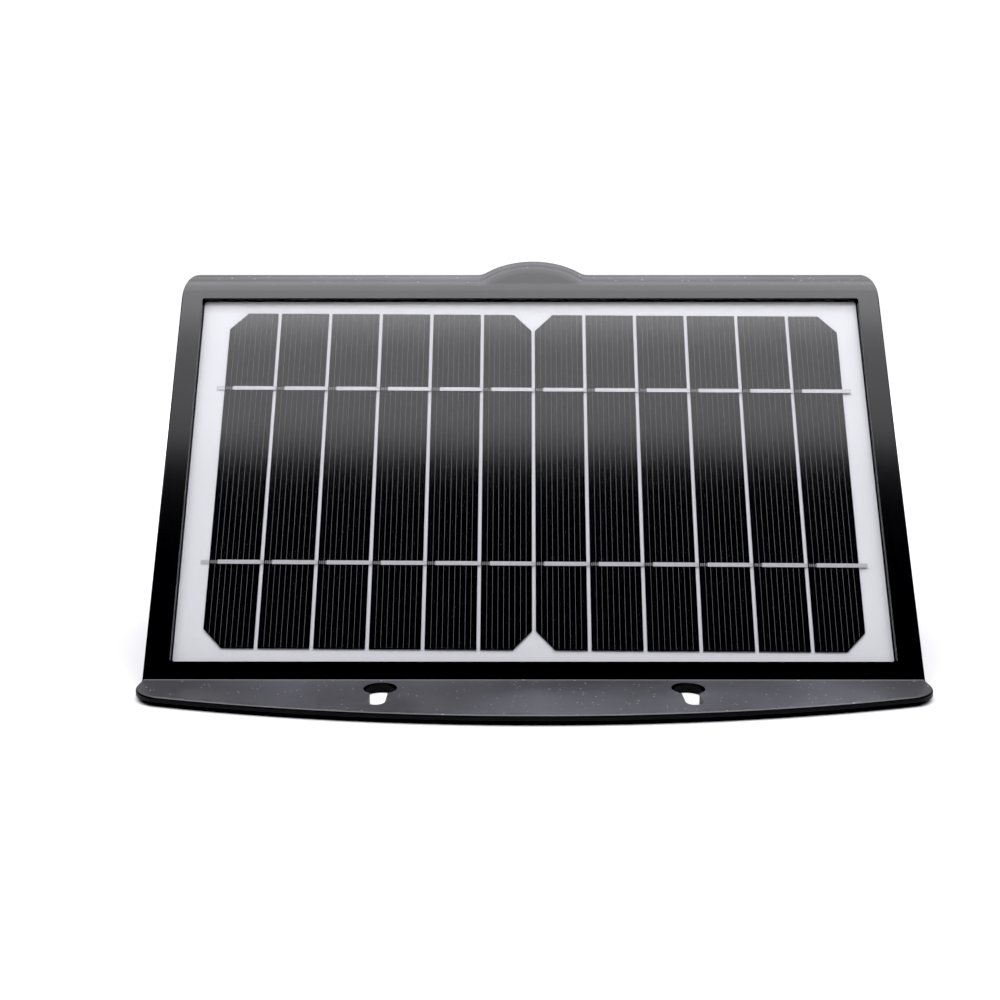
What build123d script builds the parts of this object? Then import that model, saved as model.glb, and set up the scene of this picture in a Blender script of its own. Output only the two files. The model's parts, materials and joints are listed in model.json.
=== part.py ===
from build123d import *
import os
from math import cos, radians, sin, tan

# Solar wall light lying on its wall side: +X to the right along the panel, +Y down the wall,
# +Z straight out of the wall. The wall plane is Z = 0 and the origin is midway between the
# two keyholes, on that plane. Millimetres.

# ---- driving dimensions: housing -------------------------------------------------------
body_width = 260.0
side_draft = 0.8            # how much each side leans in between the wall and the top
side_wall = 2.4
under_wall = 4.0
panel_angle = 62.3          # panel face against the wall plane, degrees
face_length = 144.5         # from the fold up to where the front edge starts to roll
roll_radius = 11.0
roof = 5.2                  # material over the cavity under the crest of the roll
under_lean = 12.0           # how far the lamp face turns outward from straight down, degrees
corner_in = 4.4             # elliptical top corners, across and down
corner_down = 10.0
edge_round = 0.7
fold_round = 0.6

# wall flange and keyholes
fold_y = 7.7
flange_top = 3.5
flange_thickness = 1.9
flange_reach = 32.0         # from the fold to the front edge at the middle
flange_ends = 13.0          # the same at the body's two ends, before its corners are rounded
flange_corner = 12.0
keyhole_spacing = 100.0
keyhole_radius = 5.45
slot_half_width = 2.85
slot_reach = 12.2           # from the round hole's centre to the slot's end arc centre
collar_wall = 2.4

# back opening, cover and its screws
seat_depth = 3.4
seat_rim = 2.0
ledge_width = 8.5
front_ledge = 18.5
ledge_thickness = 3.6
cover_gap = 0.25
cover_recess = 0.4          # cover sits this far inside the rim
seal_thickness = 0.8
seal_width = 2.0
screw_inset = 3.2           # screw centre to the seat's side
front_screw_inset = 14.0    # screw centre to the seat's front side
mid_screw_x = 45.0
screw_radius = 1.45
screw_hole_radius = 1.5
screw_length = 10.0         # from the head's face to the tip
screw_head_radius = 2.75
boss_radius = 3.6
boss_height = 9.6
seal_inset = 0.5
rib_width = 1.6
rib_height = 3.0
rib_inset = 3.0

# ---- driving dimensions: solar laminate ------------------------------------------------
window_side = 8.6          # body side to the window, measured at the wall
window_low = 6.25            # fold to the window's lower edge, along the face
window_high = 3.2           # window's upper edge to where the front edge starts to roll
window_round = 0.8
recess_depth = 4.1
panel_floor = 2.2
panel_gap = 0.3
film_depth = 1.5
film_thickness = 0.4
cell_depth = 2.1
cell_thickness = 0.2
strip_width = 17.5
strip_height = 125.0
strip_gap = 1.25
strip_count = 12
group_size = 6
strip_chamfer = 6.5
array_skew = -0.35          # the laid-up array sits a touch askew in its frame, degrees
array_shift = 0.7
array_drop = 0.85            # array's middle below the window's middle
busbar_spacing = 65.0
ribbon_width = 1.4
ribbon_thickness = 0.15
ribbon_start = 0.17         # share of a strip left bare before its ribbon starts
ribbon_tail = 3.0
ribbon_gap = 0.02
backsheet_depth = 2.52
backsheet_thickness = 0.28
board_thickness = 1.0
bead_width = 6.0
lead_hole_radius = 4.0
lead_hole_x = 60.0
lead_hole_rise = 60.0

# ---- driving dimensions: lamp face -----------------------------------------------------
opening_width = 218.0
opening_height = 64.0
opening_low = 38.0          # from the roll's end down to the opening
rebate = 3.5
diffuser_thickness = 1.8
gasket_thickness = 0.6
diffuser_gap = 0.25
lens_rise = 2.0
lens_inset = 2.6
reflector_depth = 10.0
reflector_wall = 1.2
reflector_taper = 9.0
led_board_width = 238.0
led_board_height = 50.0
led_board_thickness = 1.6
led_columns = 12
led_rows = 2
led_pitch_x = 15.5
led_pitch_y = 20.0
led_size = (3.5, 2.8, 0.8)
post_radius = 3.4
post_x = 114.5
post_pitch = 36.0
small_hole_radius = 1.15
small_screw_radius = 1.1
small_screw_length = 6.0
small_head_radius = 2.2
small_head_height = 1.4

# sensor pod on the roll
pod_half_width = 26.0
pod_half_height = 16.0
pod_shift = 1.2             # the pod sits this far to the right of the middle
pod_inset = 0.3             # the pod's front face lies this far under the panel face's plane
pod_round = 8.0
pod_blend = 6.5
pod_wall = 2.2
pod_reach = 21.5            # roll axis to the lens face, along Y
lens_lean = 25.0            # lens axis against +Y, degrees
lens_radius = 11.4
lens_shell = 0.9
lens_flange_radius = 13.8
lens_flange = 1.2
ring_thickness = 1.6
lens_seat_gap = 0.2
holder_length = 4.4
holder_wall = 1.1
sensor_board_radius = 10.4
sensor_board_thickness = 1.2
sensor_radius = 4.6
sensor_height = 4.0

# mode button
button_rise = 18.0          # button centre above the wall
button_radius = 6.0
button_gap = 0.3
button_proud = 1.2
button_lip = 1.4            # how far the button's flange reaches past its head
button_flange = 1.2
button_stem_radius = 2.0
switch_depth = 9.0          # lamp face to the switch's top
switch_size = (10.0, 10.0, 4.0)
plunger_radius = 1.75
plunger_gap = 0.1
plunger_height = 1.6        # how far the plunger stands out of the switch at rest
plunger_length = 4.2
switch_board_size = (30.0, 15.0, 1.2)
switch_post_x = 11.5
switch_post_radius = 2.6

# ---- driving dimensions: battery and electronics on the cover ---------------------------
cell_radius = 9.2
cell_length = 65.0
cell_clearance = 0.4
tray_x = -58.0
tray_y = 70.1
tray_wall = 1.6
tray_floor = 1.5
tray_height = 12.0
contact_space = 5.0
contact_thickness = 0.5
board_x = 52.0
board_y = 70.1
board_size = (84.0, 52.0, 1.6)
board_standoff = 5.0
board_hole_inset = 4.0
standoff_radius = 3.2
lead_radius = 0.65
lead_pitch = 2.5
socket_size = (7.5, 6.0, 6.5)
sensor_socket = (26.0, 84.0)
switch_socket = (14.0, 76.0)
battery_socket = (14.0, 60.0)
lead_drop = 12.0            # how far the panel's wires run straight in before they turn down
lamp_lead_x = 80.0
lamp_lead_inset = 1.0       # the lamp wires' pads to the light board's lower edge
lamp_lead_run = 14.0
sensor_lead_run = 18.0
sensor_lead_low = 40.0
switch_lead_x = 6.0
battery_lead_height = 17.0

# ---- places worked out from the dimensions ----------------------------------------------
lean = radians(panel_angle)
under = radians(under_lean)
face_dir = Vector(0, cos(lean), sin(lean))
face_out = Vector(0, -sin(lean), cos(lean))
under_out = Vector(0, cos(under), sin(under))
fold = Vector(0, fold_y, flange_top)
roll_start = fold + face_dir * face_length
roll_axis = roll_start - face_out * roll_radius
roll_top = roll_axis + Vector(0, 0, roll_radius)
roll_end = roll_axis + under_out * roll_radius
heel_y = roll_end.Y + roll_end.Z * tan(under)
face_plane = Plane(origin=fold, x_dir=(1, 0, 0), z_dir=face_out)
under_plane = Plane(origin=roll_end, x_dir=(1, 0, 0), z_dir=under_out)


def face_y(height, depth):
    """Y of the surface that lies depth below the panel face, at this height."""
    return fold_y + (height - flange_top) / tan(lean) + depth / sin(lean)


def under_y(height, depth):
    """Y of the surface that lies depth below the lamp face, at this height."""
    return heel_y - height * tan(under) - depth / cos(under)


seat_half = body_width / 2 - seat_rim
seat_front = fold_y + seat_rim
seat_rear = under_y(seat_depth, 0) - seat_rim
seat_mid = (seat_front + seat_rear) / 2
seat_length = seat_rear - seat_front
opening_front = seat_front + front_ledge
opening_rear = seat_rear - ledge_width
ledge_top = seat_depth + ledge_thickness
cover_top = seat_depth - seal_thickness
cavity_top = roll_top.Z - roof
cavity_half = body_width / 2 - side_draft - side_wall
screw_x = seat_half - screw_inset
screw_front = seat_front + front_screw_inset
screw_rear = seat_rear - screw_inset - 1.0
screw_spots = [
    (x, y)
    for x in (-screw_x, -mid_screw_x, mid_screw_x, screw_x)
    for y in (screw_front, screw_rear)
]
keyhole_spots = [(-keyhole_spacing / 2, 0), (keyhole_spacing / 2, 0)]
board_hole_x = board_size[0] / 2 - board_hole_inset
board_hole_y = board_size[1] / 2 - board_hole_inset
board_spots = [
    (board_x + i * board_hole_x, board_y + j * board_hole_y) for i in (-1, 1) for j in (-1, 1)
]
window_width = body_width - 2 * window_side
window_height = face_length - window_low - window_high
window_mid = window_low + window_height / 2
array_rise = window_mid - array_drop
opening_mid = opening_low + opening_height / 2
reflector_top = under_wall + 0.2
led_board_depth = reflector_top + reflector_depth
button_drop = (roll_end.Z - button_rise) / cos(under)
button_flange_radius = button_radius + button_lip
lens_dir = Vector(0, cos(radians(lens_lean)), sin(radians(lens_lean)))
lens_plane = Plane(
    origin=roll_axis + Vector(pod_shift, pod_reach, 0), x_dir=(1, 0, 0), z_dir=lens_dir
)
os.makedirs("parts", exist_ok=True)


def save(piece, name):
    """Label a finished piece and write it to its own file."""
    piece.label = name
    export_step(piece, f"parts/{name}.step")


# ---- front housing: flange, panel frame, rolled edge, sides, lamp face and sensor pod ----
with BuildPart() as cavity:
    with BuildSketch(Plane.YZ):
        with BuildLine():
            Polyline(
                (face_y(ledge_top, recess_depth + panel_floor), ledge_top),
                (face_y(cavity_top, recess_depth + panel_floor), cavity_top),
                (under_y(cavity_top, under_wall), cavity_top),
                (under_y(ledge_top, under_wall), ledge_top),
                close=True,
            )
        make_face()
    extrude(amount=cavity_half, both=True)

top_half = body_width / 2 - side_draft
blank_half = body_width / 2 + 2 * side_draft
with BuildPart() as front_housing:
    with BuildSketch(Plane.YZ):
        with BuildLine():
            Line((fold_y, 0), (fold_y, flange_top))
            Line((fold_y, flange_top), (roll_start.Y, roll_start.Z))
            ThreePointArc(
                (roll_start.Y, roll_start.Z), (roll_top.Y, roll_top.Z), (roll_end.Y, roll_end.Z)
            )
            Line((roll_end.Y, roll_end.Z), (heel_y, 0))
            Line((heel_y, 0), (fold_y, 0))
        make_face()
    extrude(amount=blank_half, both=True)
    # wall flange with a bowed front edge
    tip_y = fold_y - flange_ends
    with BuildSketch(Plane.XY.offset(flange_top - flange_thickness)):
        with BuildLine():
            Line((-blank_half, fold_y + 1), (-blank_half, tip_y))
            ThreePointArc((-blank_half, tip_y), (0, fold_y - flange_reach), (blank_half, tip_y))
            Line((blank_half, tip_y), (blank_half, fold_y + 1))
            Line((blank_half, fold_y + 1), (-blank_half, fold_y + 1))
        make_face()
    extrude(amount=flange_thickness)
    # both sides lean in towards the rolled edge
    with BuildSketch(Plane.XZ):
        Polygon(
            (-body_width / 2, 0),
            (body_width / 2, 0),
            (top_half, roll_top.Z),
            (top_half, roll_top.Z + roll_radius),
            (-top_half, roll_top.Z + roll_radius),
            (-top_half, roll_top.Z),
            align=None,
        )
    extrude(amount=2 * body_width, both=True, mode=Mode.INTERSECT)
    tips = front_housing.edges().filter_by(
        lambda e: abs(e.center().X) > top_half and e.center().Y < 0 and e.length < 2 * flange_thickness
    )
    fillet(tips, flange_corner)
    fold_line = front_housing.edges().filter_by(
        lambda e: abs(e.center().Y - fold_y) < 0.01 and abs(e.center().Z - flange_top) < 0.01
    )
    fillet(fold_line.filter_by(Axis.X), fold_round)
    # one small radius runs round the flange, up both sides and over the roll
    rim = front_housing.edges().filter_by(
        lambda e: e.center().Z > flange_top - 0.1
        and (
            (abs(e.center().X) > top_half - 0.1)
            or (e.center().Y < fold_y - fold_round and e.center().Z < flange_top + 0.1)
        )
    )
    fillet(rim, edge_round)
    # rounded top corners, seen from the front
    with BuildSketch(Plane.XZ):
        with BuildLine():
            corner = EllipticalCenterArc(
                (top_half - corner_in, roll_top.Z - corner_down),
                corner_in,
                corner_down,
                0,
                arc_size=85,
            )
            Line((0, -1), (body_width, -1))
            Line((body_width, -1), (body_width, roll_top.Z - corner_down))
            Line((body_width, roll_top.Z - corner_down), corner @ 0)
            Line(corner @ 1, (corner @ 1) + (0, corner_down))
            Line((corner @ 1) + (0, corner_down), (0, (corner @ 1).Y + corner_down))
            mirror(about=Plane.YZ)
        make_face()
    extrude(amount=2 * body_width, both=True, mode=Mode.INTERSECT)

with BuildPart() as pod:
    with BuildSketch(Plane.XZ.offset(2 * roll_radius - roll_axis.Y)):
        with Locations((pod_shift, roll_axis.Z)):
            Ellipse(pod_half_width, pod_half_height)
    extrude(amount=-(pod_reach + 2 * roll_radius + pod_half_height))
    split(bisect_by=face_plane.offset(-pod_inset), keep=Keep.BOTTOM)
    fillet(pod.edges().sort_by(Axis.Y)[0], pod_round)
    split(bisect_by=lens_plane, keep=Keep.BOTTOM)
    nose_rim = pod.edges().filter_by(lambda e: e.length > 4 * pod_half_width)
    fillet(nose_rim, edge_round)

with BuildPart() as pod_cavity:
    with BuildSketch(Plane.XZ.offset(-roll_axis.Y)):
        with Locations((pod_shift, roll_axis.Z)):
            Ellipse(pod_half_width - pod_wall, pod_half_height - pod_wall)
    extrude(amount=-(pod_reach + pod_half_height))
    split(bisect_by=lens_plane.offset(-pod_wall - lens_flange - ring_thickness), keep=Keep.BOTTOM)

with BuildPart() as keyholes:
    with BuildSketch():
        for spot in keyhole_spots:
            with Locations(spot):
                Circle(keyhole_radius)
            with Locations((spot[0], spot[1] - slot_reach / 2)):
                SlotCenterToCenter(slot_reach, 2 * slot_half_width, rotation=90)
    extrude(amount=flange_top + 2 * edge_round)

with BuildPart() as housing:
    add(front_housing.part)
    add(pod.part)
    seam = housing.edges().filter_by(
        lambda e: abs(e.center().X) < pod_half_width
        and roll_start.Z < e.center().Z < roll_top.Z - edge_round
        and e.center().Y < roll_end.Y
        and e.length < 4 * pod_half_width
    )
    fillet(seam, pod_blend)
    # recess for the solar laminate, with a lead hole in its floor
    with BuildSketch(face_plane.offset(-recess_depth)):
        with Locations((0, window_mid)):
            RectangleRounded(window_width, window_height, window_round)
    extrude(amount=recess_depth + roll_radius, mode=Mode.SUBTRACT)
    # hollow, back opening and the cover's seat
    add(cavity.part, mode=Mode.SUBTRACT)
    with BuildSketch(Plane.XY.offset(-1)):
        with Locations((0, (opening_front + opening_rear) / 2)):
            Rectangle(2 * (seat_half - ledge_width), opening_rear - opening_front)
    extrude(amount=ledge_top + 2, mode=Mode.SUBTRACT)
    with BuildSketch(Plane.XY.offset(-1)):
        with Locations((0, seat_mid)):
            Rectangle(2 * seat_half, seat_length)
    extrude(amount=seat_depth + 1, mode=Mode.SUBTRACT)
    add(pod_cavity.part, mode=Mode.SUBTRACT)
    with BuildSketch(face_plane.offset(-recess_depth + 1)):
        with Locations((lead_hole_x, lead_hole_rise)):
            Circle(lead_hole_radius)
    extrude(amount=-(panel_floor + 3), mode=Mode.SUBTRACT)
    # bosses for the cover screws
    with BuildSketch(Plane.XY.offset(seat_depth)):
        with Locations(screw_spots):
            Circle(boss_radius)
    extrude(amount=boss_height)
    with BuildSketch(Plane.XY.offset(seat_depth)):
        with Locations(screw_spots):
            Circle(screw_hole_radius)
    extrude(amount=screw_length - cover_top + 1, mode=Mode.SUBTRACT)
    # lamp window with a rebate for the diffuser
    with BuildSketch(under_plane.offset(-under_wall - 1)):
        with Locations((0, opening_mid)):
            RectangleRounded(opening_width, opening_height, 3)
    extrude(amount=under_wall + 3, mode=Mode.SUBTRACT)
    with BuildSketch(under_plane.offset(-diffuser_thickness - gasket_thickness)):
        with Locations((0, opening_mid)):
            RectangleRounded(opening_width + 2 * rebate, opening_height + 2 * rebate, 4)
    extrude(amount=under_wall + 3, mode=Mode.SUBTRACT)
    # posts that carry the light board
    with BuildSketch(under_plane.offset(-under_wall)):
        with Locations((0, opening_mid)):
            with GridLocations(2 * post_x, post_pitch, 2, 2):
                Circle(post_radius)
    extrude(amount=-(led_board_depth - under_wall))
    with BuildSketch(under_plane.offset(-led_board_depth)):
        with Locations((0, opening_mid)):
            with GridLocations(2 * post_x, post_pitch, 2, 2):
                Circle(small_hole_radius)
    extrude(amount=small_screw_length, mode=Mode.SUBTRACT)
    # button hole and the two posts behind it
    with BuildSketch(under_plane.offset(-under_wall)):
        with Locations((-switch_post_x, button_drop), (switch_post_x, button_drop)):
            Circle(switch_post_radius)
    extrude(amount=-(switch_depth + switch_size[2] - under_wall))
    with BuildSketch(under_plane.offset(-switch_depth - switch_size[2])):
        with Locations((-switch_post_x, button_drop), (switch_post_x, button_drop)):
            Circle(small_hole_radius)
    extrude(amount=small_screw_length, mode=Mode.SUBTRACT)
    with BuildSketch(under_plane.offset(-under_wall - 1)):
        with Locations((0, button_drop)):
            Circle(button_radius + button_gap)
    extrude(amount=under_wall + 3, mode=Mode.SUBTRACT)
    # seat and bore for the sensor lens
    with BuildSketch(lens_plane.offset(-lens_flange - ring_thickness)):
        Circle(lens_flange_radius + lens_seat_gap)
    extrude(amount=lens_flange + ring_thickness + 5, mode=Mode.SUBTRACT)
    with BuildSketch(lens_plane.offset(1)):
        Circle(lens_radius + lens_seat_gap)
    extrude(amount=-(pod_wall + lens_flange + ring_thickness + 2), mode=Mode.SUBTRACT)
    # keyhole collars reach down to the wall, then the keyholes go through
    with BuildSketch():
        for spot in keyhole_spots:
            with Locations(spot):
                Circle(keyhole_radius + collar_wall)
            with Locations((spot[0], spot[1] - slot_reach / 2)):
                SlotCenterToCenter(slot_reach, 2 * (slot_half_width + collar_wall), rotation=90)
    extrude(amount=flange_top - flange_thickness / 2)
    add(keyholes.part, mode=Mode.SUBTRACT)
save(housing.part, "front_housing")

# ---- back cover, its seal and screws -------------------------------------------------------
with BuildPart() as back_cover:
    with BuildSketch(Plane.XY.offset(cover_recess)):
        with Locations((0, seat_mid)):
            RectangleRounded(2 * (seat_half - cover_gap), seat_length - 2 * cover_gap, 2)
    extrude(amount=cover_top - cover_recess)
    # stiffening ribs inside
    with BuildSketch(Plane.XY.offset(cover_top)):
        with Locations((0, opening_front + rib_inset), (0, opening_rear - rib_inset)):
            Rectangle(2 * (seat_half - ledge_width) - 4 * rib_inset, rib_width)
    extrude(amount=rib_height)
    # standoffs for the control board and the battery tray
    with BuildSketch(Plane.XY.offset(cover_top)):
        with Locations(board_spots):
            Circle(standoff_radius)
    extrude(amount=board_standoff)
    with BuildSketch(Plane.XY.offset(cover_top + board_standoff)):
        with Locations(board_spots):
            Circle(small_hole_radius)
    extrude(amount=-(board_standoff - 0.5), mode=Mode.SUBTRACT)
    with Locations(*[Location((x, y, cover_recess), (180, 0, 0)) for x, y in screw_spots]):
        CounterSinkHole(screw_hole_radius, screw_head_radius + 0.1, cover_top, 90)
save(back_cover.part, "back_cover")

with BuildPart() as cover_seal:
    with BuildSketch(Plane.XY.offset(cover_top)):
        with Locations((0, (opening_front + opening_rear) / 2)):
            outer_x = 2 * (seat_half - ledge_width + seal_width + seal_inset)
            outer_y = opening_rear - opening_front + 2 * (seal_width + seal_inset)
            Rectangle(outer_x, outer_y)
            Rectangle(outer_x - 2 * seal_width, outer_y - 2 * seal_width, mode=Mode.SUBTRACT)
    extrude(amount=seal_thickness)
save(cover_seal.part, "cover_seal")

with BuildPart() as cover_screws:
    with BuildSketch(Plane.XY.offset(cover_recess)):
        with Locations(screw_spots):
            Circle(screw_radius)
    extrude(amount=screw_length)
    for x, y in screw_spots:
        with Locations((x, y, cover_recess + (screw_head_radius - screw_radius) / 2)):
            Cone(screw_head_radius, screw_radius, screw_head_radius - screw_radius)
        with Locations((x, y, cover_recess + 0.5)):
            for turn in (0, 90):
                Box(3.2, 0.6, 1.2, rotation=(0, 0, turn), mode=Mode.SUBTRACT)
save(cover_screws.part, "cover_screws")

# ---- solar laminate -------------------------------------------------------------------------
laminate_width = window_width - 2 * panel_gap
laminate_height = window_height - 2 * panel_gap
array_plane = Plane(
    origin=face_plane.from_local_coords((array_shift, array_rise, -cell_depth)),
    x_dir=Vector(cos(radians(array_skew)), 0, 0) + face_dir * sin(radians(array_skew)),
    z_dir=face_out,
)
strip_pitch = strip_width + strip_gap
strip_centres = [(i - (strip_count - 1) / 2) * strip_pitch for i in range(strip_count)]


def sheet(name, width, height, depth, thickness):
    """A flat rectangular layer of the laminate, its top at this depth below the face."""
    with BuildPart() as layer:
        with BuildSketch(face_plane.offset(-depth)):
            with Locations((0, window_mid)):
                RectangleRounded(width, height, window_round)
        extrude(amount=-thickness)
    save(layer.part, name)


sheet("panel_film", laminate_width, laminate_height, film_depth, film_thickness)
sheet("backsheet", laminate_width, laminate_height, backsheet_depth, backsheet_thickness)
board_depth = backsheet_depth + backsheet_thickness
bead_depth = board_depth + board_thickness
with BuildPart() as panel_board:
    with BuildSketch(face_plane.offset(-board_depth)):
        with Locations((0, window_mid)):
            RectangleRounded(laminate_width, laminate_height, window_round)
    extrude(amount=-board_thickness)
save(panel_board.part, "panel_board")

with BuildPart() as panel_bead:
    with BuildSketch(face_plane.offset(-bead_depth)):
        with Locations((0, window_mid)):
            Rectangle(laminate_width, laminate_height)
            Rectangle(
                laminate_width - 2 * bead_width,
                laminate_height - 2 * bead_width,
                mode=Mode.SUBTRACT,
            )
    extrude(amount=-(recess_depth - bead_depth))
save(panel_bead.part, "panel_bead")

for index, centre in enumerate(strip_centres):
    with BuildPart() as cell:
        with BuildSketch(array_plane):
            with Locations((centre, 0)):
                strip = Rectangle(strip_width, strip_height)
            if index % group_size == 0:
                chamfer(strip.vertices().sort_by(Axis.X)[:2], strip_chamfer)
            if index % group_size == group_size - 1:
                chamfer(strip.vertices().sort_by(Axis.X)[-2:], strip_chamfer)
        extrude(amount=-cell_thickness)
    save(cell.part, f"cell_{index + 1:02d}")

# each tab lies on a strip's front, dives through the gap and runs under the next strip
for side, name in ((1, "cell_ribbons_upper"), (-1, "cell_ribbons_lower")):
    with BuildPart() as ribbons:
        rail = side * busbar_spacing / 2
        front_length = strip_width * (1 - ribbon_start)
        for index, centre in enumerate(strip_centres):
            right = centre + strip_width / 2
            last = index == strip_count - 1
            reach = ribbon_tail if last else (strip_gap + ribbon_thickness) / 2
            with BuildSketch(array_plane.offset(ribbon_gap)):
                with Locations((right - front_length / 2 + reach / 2, rail)):
                    Rectangle(front_length + reach, ribbon_width)
            extrude(amount=ribbon_thickness)
            if last:
                continue
            drop = cell_thickness + 2 * (ribbon_gap + ribbon_thickness)
            with BuildSketch(array_plane.offset(ribbon_gap + ribbon_thickness)):
                with Locations((right + strip_gap / 2, rail)):
                    Rectangle(ribbon_thickness, ribbon_width)
            extrude(amount=-drop)
            with BuildSketch(array_plane.offset(-cell_thickness - ribbon_gap)):
                with Locations((right + strip_gap / 2 + strip_width / 2, rail)):
                    Rectangle(strip_width, ribbon_width)
            extrude(amount=-ribbon_thickness)
        # the first strip's back contact sticks out on the left
        left = strip_centres[0] - strip_width / 2
        with BuildSketch(array_plane.offset(-cell_thickness - ribbon_gap)):
            with Locations((left + strip_width / 2 - ribbon_tail / 2, rail)):
                Rectangle(strip_width + ribbon_tail, ribbon_width)
        extrude(amount=-ribbon_thickness)
    save(ribbons.part, name)

# ---- lamp face: diffuser, gasket, reflector and light board ---------------------------------
rebate_width = opening_width + 2 * rebate
rebate_height = opening_height + 2 * rebate
with BuildPart() as led_diffuser:
    with BuildSketch(under_plane.offset(-diffuser_thickness)):
        with Locations((0, opening_mid)):
            RectangleRounded(rebate_width - 2 * diffuser_gap, rebate_height - 2 * diffuser_gap, 3.8)
    extrude(amount=diffuser_thickness)
    # a raised pillow with soft edges, hollow behind
    with BuildSketch(under_plane):
        with Locations((0, opening_mid)):
            RectangleRounded(opening_width - 2 * lens_inset, opening_height - 2 * lens_inset, 6)
    extrude(amount=lens_rise)
    pillow_rim = led_diffuser.edges().filter_by(
        lambda e: abs(under_plane.to_local_coords(e.center()).Z - lens_rise) < 0.01
    )
    fillet(pillow_rim, lens_rise * 0.9)
    with BuildSketch(under_plane.offset(-diffuser_thickness)):
        with Locations((0, opening_mid)):
            RectangleRounded(opening_width - 5 * lens_inset, opening_height - 5 * lens_inset, 4)
    extrude(amount=lens_rise, mode=Mode.SUBTRACT)
save(led_diffuser.part, "led_diffuser")

with BuildPart() as diffuser_gasket:
    with BuildSketch(under_plane.offset(-diffuser_thickness - gasket_thickness)):
        with Locations((0, opening_mid)):
            RectangleRounded(rebate_width - 2 * diffuser_gap, rebate_height - 2 * diffuser_gap, 3.8)
            RectangleRounded(
                opening_width + diffuser_gap, opening_height + diffuser_gap, 3, mode=Mode.SUBTRACT
            )
    extrude(amount=gasket_thickness)
save(diffuser_gasket.part, "diffuser_gasket")

# white tray with sloping walls between the lamp window and the light board
with BuildPart() as reflector:
    wide_x = opening_width - 2 * reflector_wall
    wide_y = opening_height - 2 * reflector_wall
    for inset, mode in ((0, Mode.ADD), (reflector_wall, Mode.SUBTRACT)):
        with BuildSketch(under_plane.offset(-reflector_top)):
            with Locations((0, opening_mid)):
                RectangleRounded(wide_x - 2 * inset, wide_y - 2 * inset, 4)
        with BuildSketch(under_plane.offset(-led_board_depth)):
            with Locations((0, opening_mid)):
                RectangleRounded(
                    wide_x - 2 * inset - 2 * reflector_taper,
                    wide_y - 2 * inset - 2 * reflector_taper,
                    4,
                )
        loft(mode=mode)
save(reflector.part, "reflector")

with BuildPart() as led_board:
    with BuildSketch(under_plane.offset(-led_board_depth)):
        with Locations((0, opening_mid)):
            RectangleRounded(led_board_width, led_board_height, 2)
            with GridLocations(2 * post_x, post_pitch, 2, 2):
                Circle(small_hole_radius + 0.3, mode=Mode.SUBTRACT)
    extrude(amount=-led_board_thickness)
save(led_board.part, "led_board")

with BuildPart() as led_chips:
    with BuildSketch(under_plane.offset(-led_board_depth)):
        with Locations((0, opening_mid)):
            with GridLocations(led_pitch_x, led_pitch_y, led_columns, led_rows):
                Rectangle(led_size[0], led_size[1])
    extrude(amount=led_size[2])
save(led_chips.part, "led_chips")


def small_screws(name, plane, spots, grip):
    """Pan-head screws driven along plane's +Z through grip of material, their heads below the plane."""
    with BuildPart() as screws:
        with BuildSketch(plane):
            with Locations(spots):
                Circle(small_head_radius)
        extrude(amount=-small_head_height)
        with BuildSketch(plane):
            with Locations(spots):
                Circle(small_screw_radius)
        extrude(amount=grip + small_screw_length - 1)
        with BuildSketch(plane.offset(-small_head_height)):
            with Locations(spots):
                Rectangle(2.4, 0.5)
                Rectangle(0.5, 2.4)
        extrude(amount=0.8, mode=Mode.SUBTRACT)
    save(screws.part, name)


led_back = led_board_depth + led_board_thickness
led_screw_spots = [
    (i * post_x, opening_mid + j * post_pitch / 2) for i in (-1, 1) for j in (-1, 1)
]
small_screws("led_board_screws", under_plane.offset(-led_back), led_screw_spots, led_board_thickness)

# ---- sensor pod: domed lens, trim ring, holder, board and detector -----------------------------
lens_seat = lens_plane.offset(-lens_flange - ring_thickness)
with BuildPart() as sensor_lens:
    with BuildSketch(lens_seat):
        Circle(lens_flange_radius)
    extrude(amount=lens_flange)
    with Locations(lens_seat.location):
        Sphere(lens_radius, arc_size1=0, align=(Align.CENTER, Align.CENTER, Align.MIN))
        Sphere(lens_radius - lens_shell, mode=Mode.SUBTRACT)
save(sensor_lens.part, "sensor_lens")

with BuildPart() as lens_ring:
    with BuildSketch(lens_seat.offset(lens_flange)):
        Circle(lens_flange_radius)
        Circle(lens_radius + lens_seat_gap, mode=Mode.SUBTRACT)
    extrude(amount=ring_thickness)
    inner_rim = lens_ring.edges().filter_by(GeomType.CIRCLE).sort_by(Axis(lens_seat.origin, lens_dir))[-2:]
    chamfer(inner_rim.sort_by(SortBy.RADIUS)[0], ring_thickness / 2)
save(lens_ring.part, "lens_ring")

board_seat = lens_seat.offset(-holder_length)
with BuildPart() as sensor_holder:
    with BuildSketch(board_seat):
        Circle(lens_radius)
        Circle(lens_radius - holder_wall, mode=Mode.SUBTRACT)
    extrude(amount=holder_length)
save(sensor_holder.part, "sensor_holder")

with BuildPart() as sensor_board:
    with BuildSketch(board_seat):
        Circle(sensor_board_radius)
    extrude(amount=-sensor_board_thickness)
save(sensor_board.part, "sensor_board")

with BuildPart() as motion_sensor:
    with BuildSketch(board_seat):
        Circle(sensor_radius)
    extrude(amount=sensor_height)
    fillet(motion_sensor.edges().filter_by(GeomType.CIRCLE).sort_by(Axis.Y)[-1], 0.5)
    with BuildSketch(board_seat.offset(sensor_height - 0.3)):
        Rectangle(4, 3)
    extrude(amount=0.3, mode=Mode.SUBTRACT)
save(motion_sensor.part, "motion_sensor")

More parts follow.
